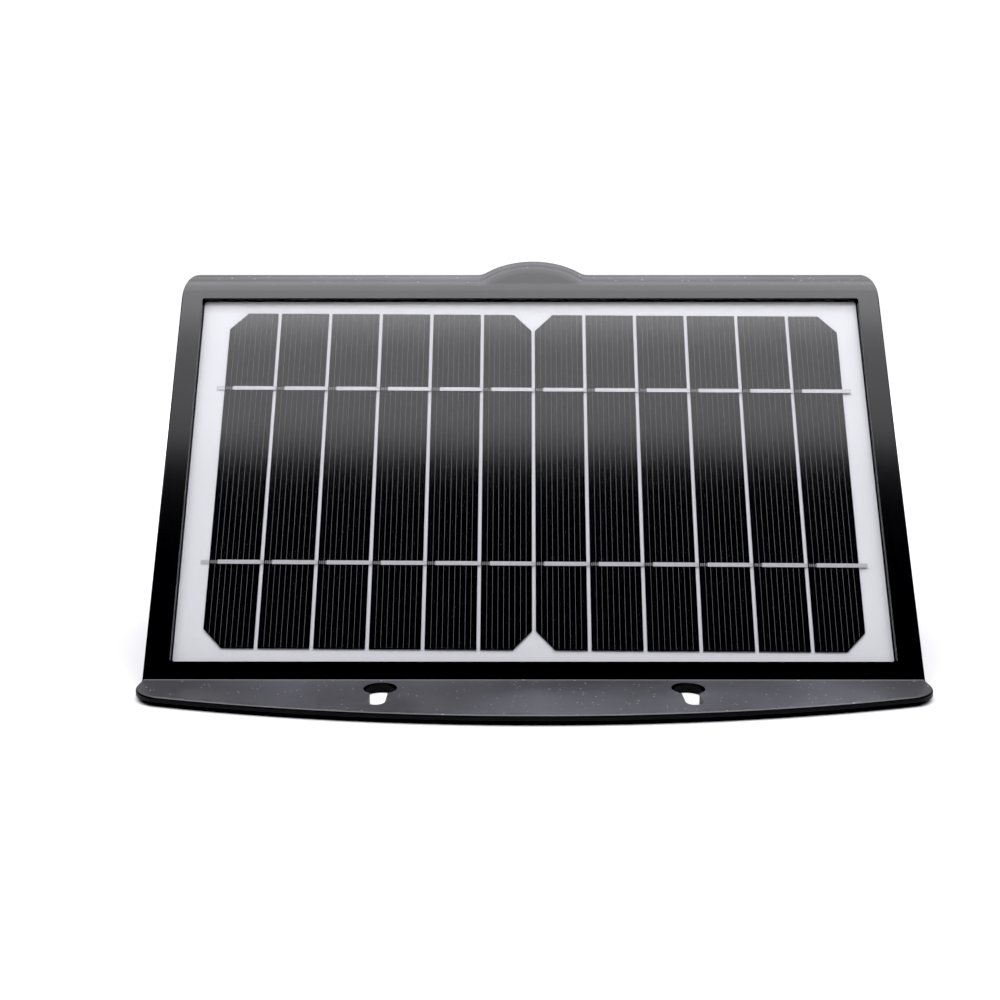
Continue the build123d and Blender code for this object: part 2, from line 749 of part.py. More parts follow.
# ---- mode button and its switch ------------------------------------------------------------------
button_plane = Plane(
    origin=under_plane.from_local_coords((0, button_drop, 0)), x_dir=(1, 0, 0), z_dir=under_out
)
stem_end = switch_depth - plunger_height
with BuildPart() as button_cap:
    with BuildSketch(button_plane.offset(button_proud)):
        Circle(button_radius)
    extrude(amount=-(button_proud + under_wall + button_gap))
    cap_rim = button_cap.edges().filter_by(GeomType.CIRCLE).sort_by(Axis(button_plane.origin, under_out))[-1]
    fillet(cap_rim, 0.8)
    with BuildSketch(button_plane.offset(-under_wall - button_gap)):
        Circle(button_flange_radius)
    extrude(amount=-button_flange)
    with BuildSketch(button_plane.offset(-under_wall - button_gap - button_flange)):
        Circle(button_stem_radius)
    extrude(amount=-(stem_end - under_wall - button_gap - button_flange))
save(button_cap.part, "button_cap")

with BuildPart() as switch_plunger:
    with BuildSketch(button_plane.offset(-stem_end)):
        Circle(plunger_radius)
    extrude(amount=-plunger_length)
save(switch_plunger.part, "switch_plunger")

with BuildPart() as switch_body:
    with BuildSketch(button_plane.offset(-switch_depth)):
        RectangleRounded(switch_size[0], switch_size[1], 0.6)
    extrude(amount=-switch_size[2])
    with BuildSketch(button_plane.offset(-switch_depth)):
        Circle(plunger_radius + plunger_gap)
    extrude(amount=-(switch_size[2] - 0.4), mode=Mode.SUBTRACT)
save(switch_body.part, "switch_body")

switch_board_top = switch_depth + switch_size[2]
with BuildPart() as switch_board:
    with BuildSketch(button_plane.offset(-switch_board_top)):
        RectangleRounded(switch_board_size[0], switch_board_size[1], 1)
        with Locations((-switch_post_x, 0), (switch_post_x, 0)):
            Circle(small_hole_radius + 0.3, mode=Mode.SUBTRACT)
    extrude(amount=-switch_board_size[2])
save(switch_board.part, "switch_board")
small_screws(
    "switch_screws",
    button_plane.offset(-switch_board_top - switch_board_size[2]),
    [(-switch_post_x, 0), (switch_post_x, 0)],
    switch_board_size[2],
)

# ---- battery tray with two cells and their contacts -------------------------------------------------
cell_pitch = 2 * cell_radius + 2 * cell_clearance + tray_wall
tray_inner = (cell_length + 2 * contact_space, 2 * (cell_radius + cell_clearance))
tray_outer = (tray_inner[0] + 2 * tray_wall, 2 * tray_inner[1] + 3 * tray_wall)
cell_height = cover_top + tray_floor + cell_clearance / 2 + cell_radius
with BuildPart() as battery_tray:
    with BuildSketch(Plane.XY.offset(cover_top)):
        with Locations((tray_x, tray_y)):
            RectangleRounded(tray_outer[0], tray_outer[1], 2)
    extrude(amount=tray_height)
    with BuildSketch(Plane.XY.offset(cover_top + tray_floor)):
        with Locations((tray_x, tray_y)):
            with GridLocations(0.001, cell_pitch, 1, 2):
                Rectangle(tray_inner[0], tray_inner[1])
    extrude(amount=tray_height, mode=Mode.SUBTRACT)
save(battery_tray.part, "battery_tray")

for index, side in ((1, -1), (2, 1)):
    axis_start = Plane(
        origin=(tray_x - cell_length / 2, tray_y + side * cell_pitch / 2, cell_height),
        x_dir=(0, 1, 0),
        z_dir=(1, 0, 0),
    )
    with BuildPart() as battery_cell:
        with BuildSketch(axis_start):
            Circle(cell_radius)
        extrude(amount=cell_length - 1)
        fillet(battery_cell.edges().filter_by(GeomType.CIRCLE), 0.6)
        with BuildSketch(axis_start.offset(cell_length - 1)):
            Circle(2.8)
        extrude(amount=1)
    save(battery_cell.part, f"battery_cell_{index}")

with BuildPart() as battery_contacts:
    for end in (-1, 1):
        plate_x = tray_x + end * (tray_inner[0] / 2 - contact_thickness / 2)
        spring_length = contact_space - contact_thickness
        for side in (-1, 1):
            with Locations((plate_x, tray_y + side * cell_pitch / 2, cell_height)):
                Box(contact_thickness, 12, 12)
            inward = Plane(
                origin=(plate_x - end * contact_thickness / 2, tray_y + side * cell_pitch / 2, cell_height),
                x_dir=(0, 1, 0),
                z_dir=(-end, 0, 0),
            )
            with BuildSketch(inward):
                Circle(3)
                Circle(2.4, mode=Mode.SUBTRACT)
            extrude(amount=spring_length)
save(battery_contacts.part, "battery_contacts")

# ---- control board on its standoffs ------------------------------------------------------------------
board_bottom = cover_top + board_standoff
board_top = board_bottom + board_size[2]
with BuildPart() as control_board:
    with BuildSketch(Plane.XY.offset(board_bottom)):
        with Locations((board_x, board_y)):
            RectangleRounded(board_size[0], board_size[1], 1.5)
        with Locations(board_spots):
            Circle(small_hole_radius + 0.3, mode=Mode.SUBTRACT)
    extrude(amount=board_size[2])
save(control_board.part, "control_board")

board_screw_plane = Plane(origin=(0, 0, board_top), x_dir=(1, 0, 0), z_dir=(0, 0, -1))
small_screws(
    "control_board_screws",
    board_screw_plane,
    [(x, -y) for x, y in board_spots],
    board_size[2] - 2,
)

# ---- parts on the control board: sockets, chips, capacitors, coil and blocking diode --------------
panel_socket_y = face_plane.from_local_coords((0, lead_hole_rise, -recess_depth - lead_drop)).Y
lamp_lead_start = under_plane.from_local_coords(
    (lamp_lead_x, opening_mid + led_board_height / 2 - lamp_lead_inset, -led_back)
)
lamp_socket_y = (lamp_lead_start - under_out * lamp_lead_run).Y
socket_spots = [
    (lead_hole_x, panel_socket_y),
    (lamp_lead_x, lamp_socket_y),
    sensor_socket,
    switch_socket,
    battery_socket,
]
with BuildPart() as lead_sockets:
    with BuildSketch(Plane.XY.offset(board_top)):
        with Locations(socket_spots):
            RectangleRounded(socket_size[0], socket_size[1], 0.4)
    extrude(amount=socket_size[2])
save(lead_sockets.part, "lead_sockets")

with BuildPart() as control_chips:
    for spot, size in (((42, 66), (7, 7, 1.2)), ((70, 68), (5, 4, 1.5)), ((52, 82), (5, 6.2, 1.6))):
        with BuildSketch(Plane.XY.offset(board_top)):
            with Locations(spot):
                Rectangle(size[0], size[1])
        extrude(amount=size[2])
save(control_chips.part, "control_chips")

with BuildPart() as capacitors:
    with BuildSketch(Plane.XY.offset(board_top)):
        with Locations((34, 54), (40, 88)):
            Circle(4)
    extrude(amount=11)
    fillet(capacitors.edges().filter_by(GeomType.CIRCLE).group_by(Axis.Z)[-1], 0.5)
save(capacitors.part, "capacitors")

with BuildPart() as coil:
    with BuildSketch(Plane.XY.offset(board_top)):
        with Locations((66, 80)):
            RectangleRounded(8, 8, 1.5)
    extrude(amount=4.5)
save(coil.part, "coil")

with BuildPart() as blocking_diode:
    with BuildSketch(Plane.XY.offset(board_top)):
        with Locations((48, 52)):
            Rectangle(4.6, 3.6)
    extrude(amount=2.4)
save(blocking_diode.part, "blocking_diode")

# ---- leads inside the housing: pairs of thin wires in straight runs joined by arcs ------------------


def wire(points):
    """One insulated wire along these points, its corners turned by arcs that leave room at both ends."""
    spots = [Vector(point) for point in points]
    radii = []
    for before, corner, after in zip(spots, spots[1:], spots[2:]):
        turn = radians((corner - before).get_angle(after - corner))
        shorter = min((corner - before).length, (after - corner).length)
        radii.append(0.45 * shorter / tan(turn / 2))
    print("wire bend radii", [round(radius, 1) for radius in radii])
    with BuildPart() as tube:
        with BuildLine() as path:
            FilletPolyline(*spots, radius=radii)
        with BuildSketch(Plane(origin=spots[0], z_dir=spots[1] - spots[0])):
            Circle(lead_radius)
        sweep(path=path.line)
    return tube.part


def save_leads(name, routes):
    """Save a group of wires as one node."""
    wires = [wire(route) for route in routes]
    save(Compound(children=wires), name)


def pair(points):
    """Two parallel wires, lead_pitch apart along X."""
    return [[Vector(point) + Vector(side * lead_pitch / 2, 0, 0) for point in points] for side in (-1, 1)]


socket_top = board_top + socket_size[2]
panel_back = -(backsheet_depth + backsheet_thickness + board_thickness)
save_leads(
    "panel_leads",
    pair(
        [
            face_plane.from_local_coords((lead_hole_x, lead_hole_rise, panel_back)),
            face_plane.from_local_coords((lead_hole_x, lead_hole_rise, -recess_depth - lead_drop)),
            (lead_hole_x, panel_socket_y, socket_top),
        ]
    ),
)

save_leads(
    "lamp_leads",
    pair(
        [
            lamp_lead_start,
            lamp_lead_start - under_out * lamp_lead_run,
            (lamp_lead_x, lamp_socket_y, socket_top),
        ]
    ),
)

sensor_start = lens_seat.origin - lens_dir * (holder_length + sensor_board_thickness)
sensor_turn = sensor_start - lens_dir * sensor_lead_run
save_leads(
    "sensor_leads",
    pair(
        [
            sensor_start,
            sensor_turn,
            (sensor_socket[0], sensor_socket[1], sensor_lead_low),
            (sensor_socket[0], sensor_socket[1], socket_top),
        ]
    ),
)

switch_back = switch_board_top + switch_board_size[2]
switch_start = button_plane.from_local_coords((switch_lead_x, 0, -switch_back))
entry_height = board_top + socket_size[2] / 2
save_leads(
    "switch_leads",
    pair(
        [
            switch_start,
            switch_start - under_out * 10,
            (switch_socket[0], switch_socket[1] + socket_size[1] / 2 + 7, entry_height),
            (switch_socket[0], switch_socket[1] + socket_size[1] / 2, entry_height),
        ]
    ),
)

contact_x = tray_x + tray_inner[0] / 2
socket_side = battery_socket[0] - socket_size[0] / 2
battery_routes = []
for side, run in ((-1, 9.0), (1, 12.0)):
    wire_y = tray_y + side * cell_pitch / 2
    entry_y = battery_socket[1] + side * lead_pitch / 2
    battery_routes.append(
        [
            (contact_x, wire_y, battery_lead_height),
            (contact_x + 12.5, wire_y, battery_lead_height),
            (socket_side - run, entry_y, entry_height),
            (socket_side, entry_y, entry_height),
        ]
    )
save_leads("battery_leads", battery_routes)
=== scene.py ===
import json
from math import cos, pi, radians, sin

import bmesh
import bpy
from mathutils import Matrix, Vector


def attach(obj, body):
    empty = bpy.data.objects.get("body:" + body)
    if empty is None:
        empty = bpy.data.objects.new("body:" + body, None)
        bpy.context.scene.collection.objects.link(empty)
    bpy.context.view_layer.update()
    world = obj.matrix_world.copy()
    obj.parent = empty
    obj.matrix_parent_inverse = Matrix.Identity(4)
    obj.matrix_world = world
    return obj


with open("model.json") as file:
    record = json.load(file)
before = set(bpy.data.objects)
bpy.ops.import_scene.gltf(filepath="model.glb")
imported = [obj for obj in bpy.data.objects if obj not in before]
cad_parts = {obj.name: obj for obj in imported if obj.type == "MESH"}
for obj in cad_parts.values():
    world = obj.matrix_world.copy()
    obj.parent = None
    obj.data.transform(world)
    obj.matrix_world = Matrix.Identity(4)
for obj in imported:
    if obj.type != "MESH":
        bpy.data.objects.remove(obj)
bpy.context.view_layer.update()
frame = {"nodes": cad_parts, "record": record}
nodes = frame["nodes"]
print("frame loaded:", len(nodes), "nodes")

# camera, light and floor
cameraSet = {
    "place": (-0.01068, -0.34296, 0.12578),
    "turn": (radians(80.04), 0, radians(0.071)),
    "lens": 39.8,
}
cameraData = bpy.data.cameras.new("studioCamera")
cameraData.lens = cameraSet["lens"]
cameraData.sensor_width = 36
cameraData.clip_start = 0.01
camera = bpy.data.objects.new("studioCamera", cameraData)
camera.location = cameraSet["place"]
camera.rotation_euler = cameraSet["turn"]
bpy.context.collection.objects.link(camera)
bpy.context.scene.camera = camera

studio = {
    "centre": (0, 0.043, 0.07),
    "distance": 1.2,
    "width": 2.2,
    "worldSeen": 1.05,
    "worldLight": 0.05,
    "floorSize": 40,
    "floorShade": 0.5,
    "floorFade": (0.3, 0.9),
    "floorMirrored": 0.25,
    "boxTint": (0.965, 0.955, 1.0),
    "blackPoint": 0.006,
}
# each box: lowest and highest angle above the ground seen from the centre, and its brightness
boxes = {
    "edgeBox": (48.5, 51, 2.7),
    "lowBox": (51, 57, 2.75),
    "midBox": (57, 65, 7.0),
    "topBox": (65, 100, 7.4),
    "rearBox": (100, 135, 3.4),
    "backWall": (135, 172, 0.8),
}


def addBox(name, low, high, brightness):
    centre = Vector(studio["centre"])
    ends = [centre + studio["distance"] * Vector((0, -cos(radians(angle)), sin(radians(angle))))
            for angle in (low, high)]
    middle = (ends[0] + ends[1]) / 2
    light = bpy.data.lights.new(name, "AREA")
    light.shape = "RECTANGLE"
    light.color = studio["boxTint"]
    light.size = studio["width"]
    light.size_y = (ends[1] - ends[0]).length
    light.energy = brightness * pi * light.size * light.size_y
    lamp = bpy.data.objects.new(name, light)
    lamp.location = middle
    lamp.rotation_euler = (centre - middle).to_track_quat("-Z", "Y").to_euler()
    bpy.context.collection.objects.link(lamp)


for boxName, values in boxes.items():
    addBox(boxName, *values)

world = bpy.data.worlds.new("studioWorld")
bpy.context.scene.world = world
world.use_nodes = True
worldTree = world.node_tree
worldTree.nodes.clear()
worldOut = worldTree.nodes.new("ShaderNodeOutputWorld")
worldMix = worldTree.nodes.new("ShaderNodeMixShader")
worldPath = worldTree.nodes.new("ShaderNodeLightPath")
worldTree.links.new(worldPath.outputs["Is Camera Ray"], worldMix.inputs[0])
for place, strength in ((1, studio["worldLight"]), (2, studio["worldSeen"])):
    background = worldTree.nodes.new("ShaderNodeBackground")
    background.inputs["Strength"].default_value = strength
    background.inputs["Color"].default_value = (1, 1, 1, 1)
    worldTree.links.new(background.outputs[0], worldMix.inputs[place])
worldTree.links.new(worldMix.outputs[0], worldOut.inputs[0])
viewing = bpy.context.scene.view_settings
viewing.view_transform = "Standard"
viewing.use_curve_mapping = True
viewing.curve_mapping.black_level = [studio["blackPoint"]] * 3
viewing.curve_mapping.update()
print("studio ready")


# shader groups and the small helpers that fill them
def newGroup(name, inputs, outputs):
    group = bpy.data.node_groups.new(name, "ShaderNodeTree")
    for label, kind, value in inputs:
        socket = group.interface.new_socket(name=label, in_out="INPUT", socket_type=kind)
        if value is not None:
            socket.default_value = value
    for label, kind in outputs:
        group.interface.new_socket(name=label, in_out="OUTPUT", socket_type=kind)
    return group, group.nodes.new("NodeGroupInput"), group.nodes.new("NodeGroupOutput")


def addNode(tree, kind, links=(), **values):
    node = tree.nodes.new(kind)
    for key, value in values.items():
        setattr(node, key, value)
    for socket, source in links:
        target = node.inputs[socket]
        if isinstance(source, bpy.types.NodeSocket):
            tree.links.new(source, target)
        else:
            target.default_value = source
    return node


def mathNode(tree, operation, first, second=0.0, third=0.0):
    sockets = ((0, first), (1, second), (2, third))
    return addNode(tree, "ShaderNodeMath", sockets, operation=operation).outputs[0]


def mixColor(tree, factor, first, second):
    node = addNode(tree, "ShaderNodeMix", data_type="RGBA")
    for socket, source in ((0, factor), (6, first), (7, second)):
        if isinstance(source, bpy.types.NodeSocket):
            tree.links.new(source, node.inputs[socket])
        else:
            node.inputs[socket].default_value = source
    return node.outputs[2]


def objectPoint(tree):
    return addNode(tree, "ShaderNodeTexCoord").outputs["Object"]


def rangeNode(tree, value, fromRange, toRange=(0.0, 1.0), interpolation="LINEAR"):
    sockets = (("Value", value), ("From Min", fromRange[0]), ("From Max", fromRange[1]),
               ("To Min", toRange[0]), ("To Max", toRange[1]))
    return addNode(tree, "ShaderNodeMapRange", sockets, interpolation_type=interpolation).outputs[0]


# fine moulded texture: a bump, and a slow drift of gloss
driftSize = 60.0
grain, grainIn, grainOut = newGroup(
    "moldedGrain",
    (
        ("Size", "NodeSocketFloat", 1500.0),
        ("Depth", "NodeSocketFloat", 0.00002),
        ("Roughness", "NodeSocketFloat", 0.4),
        ("Drift", "NodeSocketFloat", 0.08),
    ),
    (("Normal", "NodeSocketVector"), ("Roughness", "NodeSocketFloat")),
)
grainPoint = objectPoint(grain)
grainNoise = addNode(grain, "ShaderNodeTexNoise",
                     (("Vector", grainPoint), ("Scale", grainIn.outputs["Size"]), ("Detail", 2.0)))
grainBump = addNode(grain, "ShaderNodeBump",
                    (("Height", grainNoise.outputs[0]), ("Distance", grainIn.outputs["Depth"])))
driftNoise = addNode(grain, "ShaderNodeTexNoise",
                     (("Vector", grainPoint), ("Scale", driftSize), ("Detail", 3.0)))
driftShift = mathNode(grain, "SUBTRACT", driftNoise.outputs[0], 0.5)
drifting = mathNode(grain, "MULTIPLY_ADD", driftShift, grainIn.outputs["Drift"],
                    grainIn.outputs["Roughness"])
grain.links.new(grainBump.outputs[0], grainOut.inputs["Normal"])
grain.links.new(drifting, grainOut.inputs["Roughness"])

# dust that settles on what faces up, thin and cloudy with a few bright specks
dustSet = {
    "color": (0.35, 0.35, 0.43, 1),
    "slope": (0.55, 0.98),  # upward part of the normal where dust begins and is full
    "cloudSize": 15.0,
    "cloudRange": (0.36, 0.64),
    "cloudShare": (0.15, 1.25),
    "endFadeRange": (0.095, 0.122),  # toward both ends the mask thins out, so the ends come out darker
    "endFadeShare": 0.25,
    "speckSize": 420.0,
    "dulling": 0.26,
}
dust, dustIn, dustOut = newGroup(
    "settledDust",
    (
        ("Amount", "NodeSocketFloat", 0.5),
        ("Specks", "NodeSocketFloat", 0.06),
        ("Roughness", "NodeSocketFloat", 0.4),
    ),
    (("Mask", "NodeSocketFloat"), ("Roughness", "NodeSocketFloat")),
)
dustPoint = objectPoint(dust)
surfaceNormal = addNode(dust, "ShaderNodeNewGeometry").outputs["Normal"]
facing = addNode(dust, "ShaderNodeSeparateXYZ", (("Vector", surfaceNormal),))
upward = rangeNode(dust, facing.outputs["Z"], dustSet["slope"], interpolation="SMOOTHSTEP")
cloud = addNode(dust, "ShaderNodeTexNoise",
                (("Vector", dustPoint), ("Scale", dustSet["cloudSize"]), ("Detail", 5.0)))
cloudShare = rangeNode(dust, cloud.outputs[0], dustSet["cloudRange"], dustSet["cloudShare"])
dustPlace = addNode(dust, "ShaderNodeSeparateXYZ", (("Vector", dustPoint),))
sideways = mathNode(dust, "ABSOLUTE", dustPlace.outputs["X"])
# the mask is weaker toward both ends, so the ends come out darker
endFade = rangeNode(dust, sideways, dustSet["endFadeRange"], (1.0, dustSet["endFadeShare"]))
speckDots = addNode(dust, "ShaderNodeTexVoronoi",
                    (("Vector", dustPoint), ("Scale", dustSet["speckSize"])))
speckHere = mathNode(dust, "LESS_THAN", speckDots.outputs["Distance"], dustIn.outputs["Specks"])
cloudy = mathNode(dust, "MULTIPLY", cloudShare, endFade)
veil = mathNode(dust, "MULTIPLY", cloudy, dustIn.outputs["Amount"])
dusted = mathNode(dust, "MULTIPLY", mathNode(dust, "MAXIMUM", veil, speckHere), upward)
dulled = mathNode(dust, "MULTIPLY_ADD", upward, dustSet["dulling"], dustIn.outputs["Roughness"])
dust.links.new(dusted, dustOut.inputs["Mask"])
dust.links.new(dulled, dustOut.inputs["Roughness"])

# the laminate's rippled film, seen on all that lies under it
ripple, rippleIn, rippleOut = newGroup(
    "filmRipple",
    (("Size", "NodeSocketFloat", 2600.0), ("Depth", "NodeSocketFloat", 0.000011)),
    (("Normal", "NodeSocketVector"),),
)
rippleNoise = addNode(
    ripple, "ShaderNodeTexNoise",
    (("Vector", objectPoint(ripple)), ("Scale", rippleIn.outputs["Size"]), ("Detail", 1.0)))
rippleBump = addNode(ripple, "ShaderNodeBump",
                     (("Height", rippleNoise.outputs[0]), ("Distance", rippleIn.outputs["Depth"])))
ripple.links.new(rippleBump.outputs[0], rippleOut.inputs["Normal"])


def addGroup(tree, group, **values):
    node = tree.nodes.new("ShaderNodeGroup")
    node.node_tree = group
    for label, value in values.items():
        node.inputs[label].default_value = value
    return node


def startMaterial(name, color, **sockets):
    made = bpy.data.materials.new(name)
    made.use_nodes = True
    tree = made.node_tree
    shader = tree.nodes["Principled BSDF"]
    shader.inputs["Base Color"].default_value = (*color, 1)
    made.diffuse_color = (*color, 1)
    for label, value in sockets.items():
        shader.inputs[label.replace("_", " ")].default_value = value
    return made, tree, shader


def mottledColor(tree, color, share, size):
    noise = addNode(tree, "ShaderNodeTexNoise",
                    (("Vector", objectPoint(tree)), ("Scale", size), ("Detail", 4.0)))
    dark = (*[value * (1 - share) for value in color], 1)
    light = (*[min(1, value * (1 + share)) for value in color], 1)
    return mixColor(tree, noise.outputs[0], dark, light)


def moldedMaterial(name, color, rough=0.4, grainSize=1500.0, grainDepth=0.00002, drift=0.08,
                   dusty=0.0, specks=0.0, share=0.12, size=90.0, **sockets):
    made, tree, shader = startMaterial(name, color, **sockets)
    texture = addGroup(tree, grain, Size=grainSize, Depth=grainDepth, Roughness=rough, Drift=drift)
    tree.links.new(texture.outputs["Normal"], shader.inputs["Normal"])
    tree.links.new(texture.outputs["Roughness"], shader.inputs["Roughness"])
    surface = mottledColor(tree, color, share, size)
    if dusty:
        settled = addGroup(tree, dust, Amount=dusty, Specks=specks)
        tree.links.new(texture.outputs["Roughness"], settled.inputs["Roughness"])
        tree.links.new(settled.outputs["Roughness"], shader.inputs["Roughness"])
        surface = mixColor(tree, settled.outputs["Mask"], surface, dustSet["color"])
    tree.links.new(surface, shader.inputs["Base Color"])
    return made


def laminatedMaterial(name, color, rough, share=0.2, size=30.0, **sockets):
    made, tree, shader = startMaterial(name, color, Roughness=rough, **sockets)
    film = addGroup(tree, ripple)
    tree.links.new(film.outputs["Normal"], shader.inputs["Normal"])
    tree.links.new(mottledColor(tree, color, share, size), shader.inputs["Base Color"])
    return made


materials = {
    "housing": moldedMaterial(
        "charcoalPlastic", (0.002, 0.002, 0.0024), rough=0.12, grainSize=2200,
        grainDepth=0.000004, drift=0.02, dusty=0.085, specks=0.09, Specular_IOR_Level=0.35
    ),
    "cover": moldedMaterial(
        "coverPlastic", (0.012, 0.012, 0.013), rough=0.42, grainSize=1800, grainDepth=0.00003
    ),
    "seal": moldedMaterial(
        "sealFoam", (0.03, 0.03, 0.03), rough=0.85, grainSize=900, grainDepth=0.00008
    ),
    "steel": moldedMaterial(
        "zincSteel", (0.62, 0.62, 0.6), rough=0.3, grainSize=700, grainDepth=0.00001, drift=0.2,
        Metallic=1.0
    ),
    "laminate": laminatedMaterial(
        "clearFilm", (0.03, 0.03, 0.035), rough=0.12, share=0.05, Alpha=0.03
    ),
    "backsheet": laminatedMaterial(
        "whiteSheet", (0.465, 0.469, 0.483), rough=0.07, share=0.02, Specular_IOR_Level=0.25
    ),
    "panel_board": moldedMaterial(
        "glassFibreBoard", (0.6, 0.62, 0.5), rough=0.5, grainSize=500, grainDepth=0.00003
    ),
    "bead": moldedMaterial(
        "siliconeBead", (0.75, 0.75, 0.72), rough=0.45, grainSize=300, grainDepth=0.0001
    ),
    "silicon": laminatedMaterial("darkSilicon", (0.0008, 0.0008, 0.0012), rough=0.07),
    "ribbon": laminatedMaterial(
        "tinnedCopper", (0.31, 0.31, 0.32), rough=0.5, share=0.15, size=700, Metallic=0.7
    ),
    "gasket": moldedMaterial(
        "gasketRubber", (0.02, 0.02, 0.02), rough=0.7, grainSize=900, grainDepth=0.00004
    ),
    "reflector": moldedMaterial(
        "reflectorWhite", (0.86, 0.86, 0.85), rough=0.25, grainSize=400, grainDepth=0.00001
    ),
    "light_board": moldedMaterial(
        "whiteMask", (0.84, 0.84, 0.82), rough=0.3, grainSize=600, grainDepth=0.00002
    ),
    "led": moldedMaterial(
        "phosphor", (0.9, 0.68, 0.18), rough=0.35, grainSize=1200, grainDepth=0.00002
    ),
    "trim": moldedMaterial(
        "trimPlastic", (0.01, 0.01, 0.011), rough=0.3, grainSize=2000, grainDepth=0.00001
    ),
    "inner_plastic": moldedMaterial(
        "trayPlastic", (0.02, 0.02, 0.021), rough=0.5, grainSize=1200, grainDepth=0.00003
    ),
    "circuit_board": moldedMaterial(
        "greenMask", (0.02, 0.16, 0.06), rough=0.25, grainSize=400, grainDepth=0.00003,
        share=0.35, size=240.0
    ),
    "can": moldedMaterial(
        "brightCan", (0.75, 0.75, 0.74), rough=0.22, grainSize=900, grainDepth=0.00001,
        drift=0.15, Metallic=1.0
    ),
    "button": moldedMaterial(
        "buttonRubber", (0.03, 0.03, 0.032), rough=0.55, grainSize=1600, grainDepth=0.00003
    ),
    "switch": moldedMaterial("switchPlastic", (0.012, 0.012, 0.012), rough=0.3),
    "plunger": moldedMaterial("plungerRed", (0.6, 0.04, 0.03), rough=0.3),
    "cell_sleeve": moldedMaterial(
        "shrinkSleeve", (0.04, 0.16, 0.42), rough=0.22, grainSize=250, grainDepth=0.00005
    ),
    "contact": moldedMaterial(
        "nickelSpring", (0.7, 0.68, 0.64), rough=0.2, grainSize=900, grainDepth=0.00001,
        Metallic=1.0
    ),
    "socket": moldedMaterial("creamNylon", (0.78, 0.74, 0.6), rough=0.45),
    "chip": moldedMaterial(
        "blackEpoxy", (0.015, 0.015, 0.015), rough=0.5, grainSize=2500, grainDepth=0.00003
    ),
    "ferrite": moldedMaterial(
        "greyFerrite", (0.05, 0.05, 0.05), rough=0.6, grainSize=1400, grainDepth=0.00005
    ),
    "leads": moldedMaterial(
        "wireJacket", (0.35, 0.015, 0.012), rough=0.35, grainSize=600, grainDepth=0.00001
    ),
}

# opal diffuser: fine upright prisms moulded in
prismSet = {"color": (0.86, 0.86, 0.84), "rough": 0.32, "bands": 150.0, "depth": 0.0003,
            "mottle": 0.03, "mottleSize": 40.0}
prism, prismTree, prismShader = startMaterial("opalPrisms", prismSet["color"],
                                              Roughness=prismSet["rough"])
prismWave = addNode(
    prismTree, "ShaderNodeTexWave",
    (("Vector", objectPoint(prismTree)), ("Scale", prismSet["bands"]), ("Distortion", 0.0)),
    wave_type="BANDS", bands_direction="X", wave_profile="TRI")
prismBump = addNode(prismTree, "ShaderNodeBump",
                    (("Height", prismWave.outputs[1]), ("Distance", prismSet["depth"])))
prismColor = mottledColor(prismTree, prismSet["color"], prismSet["mottle"], prismSet["mottleSize"])
prismTree.links.new(prismBump.outputs[0], prismShader.inputs["Normal"])
prismTree.links.new(prismColor, prismShader.inputs["Base Color"])
materials["diffuser"] = prism

# milky sensor dome: a net of small lens facets
domeSet = {"color": (0.82, 0.82, 0.8), "rough": 0.35, "milkiness": 0.15, "milkReach": 0.002,
           "facets": 330.0, "grooveWidth": 0.12, "grooveDepth": 0.00025,
           "grooveShadeColor": (0.55, 0.55, 0.53, 1), "faceColor": (0.84, 0.84, 0.82, 1)}
facet, facetTree, facetShader = startMaterial("facetedDome", domeSet["color"],
                                              Roughness=domeSet["rough"])
facetShader.inputs["Subsurface Weight"].default_value = domeSet["milkiness"]
facetShader.inputs["Subsurface Radius"].default_value = [domeSet["milkReach"]] * 3
facetCells = addNode(facetTree, "ShaderNodeTexVoronoi",
                     (("Vector", objectPoint(facetTree)), ("Scale", domeSet["facets"])),
                     feature="DISTANCE_TO_EDGE")
facetGroove = rangeNode(facetTree, facetCells.outputs[0], (0.0, domeSet["grooveWidth"]))
facetBump = addNode(facetTree, "ShaderNodeBump",
                    (("Height", facetGroove), ("Distance", domeSet["grooveDepth"])))
# the grooves between the facets are painted darker: painted shade in the creases
facetColorWithGrooveShade = mixColor(facetTree, facetGroove, domeSet["grooveShadeColor"], domeSet["faceColor"])
facetTree.links.new(facetBump.outputs[0], facetShader.inputs["Normal"])
facetTree.links.new(facetColorWithGrooveShade, facetShader.inputs["Base Color"])
materials["sensor_lens"] = facet

for row in frame["record"]["subparts"]:
    mesh = nodes[row["node"]].data
    mesh.materials.clear()
    mesh.materials.append(materials[row["material_slot"]])
print("materials:", len(materials))


def finishPiece(name, work, material, body="light"):
    mesh = bpy.data.meshes.new(name)
    bmesh.ops.recalc_face_normals(work, faces=work.faces)
    work.to_mesh(mesh)
    work.free()
    mesh.materials.append(material)
    piece = bpy.data.objects.new(name, mesh)
    bpy.context.collection.objects.link(piece)
    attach(piece, body)
    return piece


# floor
shade = studio["floorShade"]
mirrored = studio["floorMirrored"] * shade
floorMaterial, floorTree, floorShader = startMaterial("paleFloor", (shade, shade, shade),
                                                      Roughness=0.9)
floorShader.inputs["Specular IOR Level"].default_value = 0.1
floorShader.inputs["Emission Strength"].default_value = 1.0
floorReach = addNode(floorTree, "ShaderNodeVectorMath", ((0, objectPoint(floorTree)),),
                     operation="LENGTH")
floorGlow = rangeNode(floorTree, floorReach.outputs["Value"], studio["floorFade"],
                      interpolation="SMOOTHSTEP")
floorTree.links.new(mixColor(floorTree, floorGlow, (0, 0, 0, 1), (1, 1, 1, 1)),
                    floorShader.inputs["Emission Color"])
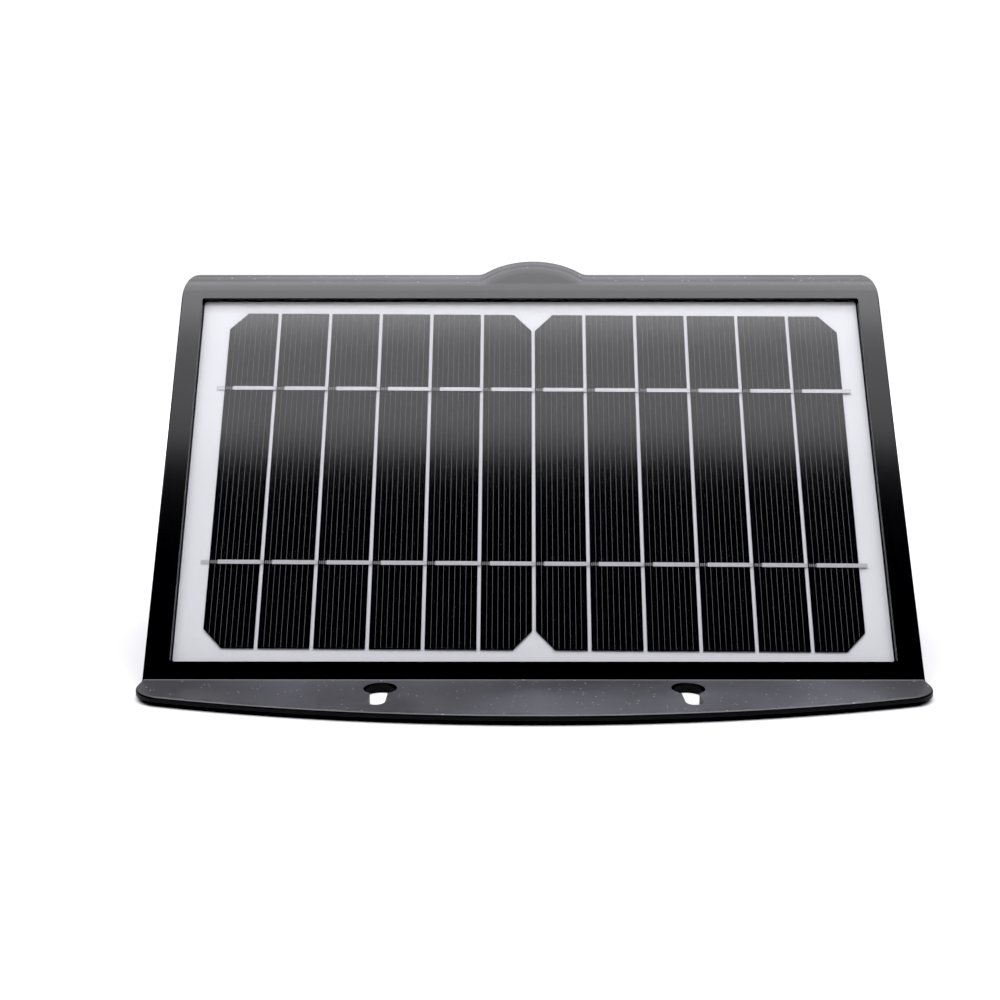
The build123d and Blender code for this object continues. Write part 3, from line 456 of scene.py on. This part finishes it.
# seen in the plastic's gloss, the floor is darker
floorDim = addNode(floorTree, "ShaderNodeBsdfDiffuse",
                   (("Color", (mirrored, mirrored, mirrored, 1)),))
floorPath = addNode(floorTree, "ShaderNodeLightPath")
floorMix = addNode(
    floorTree, "ShaderNodeMixShader",
    ((0, floorPath.outputs["Is Glossy Ray"]), (1, floorShader.outputs[0]),
     (2, floorDim.outputs[0])))
floorTree.links.new(floorMix.outputs[0], floorTree.nodes["Material Output"].inputs["Surface"])
floorWork = bmesh.new()
bmesh.ops.create_grid(floorWork, x_segments=1, y_segments=1, size=studio["floorSize"])
floorMesh = bpy.data.meshes.new("floor")
floorWork.to_mesh(floorMesh)
floorWork.free()
floorMesh.materials.append(floorMaterial)
floor = bpy.data.objects.new("floor", floorMesh)
bpy.context.collection.objects.link(floor)

# cell details
panel = {
    "tilt": radians(62.3),
    "foldPlace": (0, 0.0077, 0.0035),
    "arrayShift": 0.0007,
    "arrayRise": 0.072925,
    "cellDepth": 0.0021,
    "skew": radians(-0.35),
    "stripWidth": 0.0175,
    "stripHeight": 0.125,
    "stripPitch": 0.01875,
    "stripCount": 12,
    "groupSize": 6,
    "chamfer": 0.0065,
    "railSpacing": 0.065,
}
panelTurn = Matrix.Rotation(panel["tilt"], 4, "X")
panelMatrix = Matrix.Translation(panel["foldPlace"]) @ panelTurn
arrayPlace = (panel["arrayShift"], panel["arrayRise"], -panel["cellDepth"])
arrayTurn = Matrix.Rotation(panel["skew"], 4, "Z")
arrayMatrix = panelMatrix @ Matrix.Translation(arrayPlace) @ arrayTurn
stripMiddle = (panel["stripCount"] - 1) / 2
stripCentres = [(i - stripMiddle) * panel["stripPitch"] for i in range(panel["stripCount"])]


def addBar(work, matrix, centre, size):
    place = Matrix.Translation(centre) @ Matrix.Diagonal((*size, 1))
    bmesh.ops.create_cube(work, size=1, matrix=matrix @ place)


grid = {"lines": 8, "spacing": 0.00192, "width": 0.00008, "height": 0.00001, "margin": 0.0004}
gridWork = bmesh.new()
for index, centre in enumerate(stripCentres):
    for line in range(grid["lines"]):
        across = (line - (grid["lines"] - 1) / 2) * grid["spacing"]
        halfHeight = panel["stripHeight"] / 2 - grid["margin"]
        if index % panel["groupSize"] == 0:
            halfHeight -= max(0, panel["chamfer"] - (across + panel["stripWidth"] / 2))
        if index % panel["groupSize"] == panel["groupSize"] - 1:
            halfHeight -= max(0, panel["chamfer"] - (panel["stripWidth"] / 2 - across))
        addBar(gridWork, arrayMatrix, (centre + across, 0, grid["height"] / 2),
               (grid["width"], 2 * halfHeight, grid["height"]))
gridMetal = laminatedMaterial("printedSilver", (0.09, 0.09, 0.093), 0.35, 0.4, 900)
finishPiece("gridLines", gridWork, gridMetal)

pads = {"count": 4, "size": (0.00045, 0.0011, 0.000012), "spacing": 0.00068, "edge": 0.0006}
padWork = bmesh.new()
for centre in stripCentres:
    for side in (-1, 1):
        for step in range(pads["count"]):
            across = centre - panel["stripWidth"] / 2 + pads["edge"] + step * pads["spacing"]
            along = side * panel["railSpacing"] / 2
            addBar(padWork, arrayMatrix, (across, along, pads["size"][2] / 2), pads["size"])
finishPiece("solderPads", padWork, gridMetal)
print("cell details done")
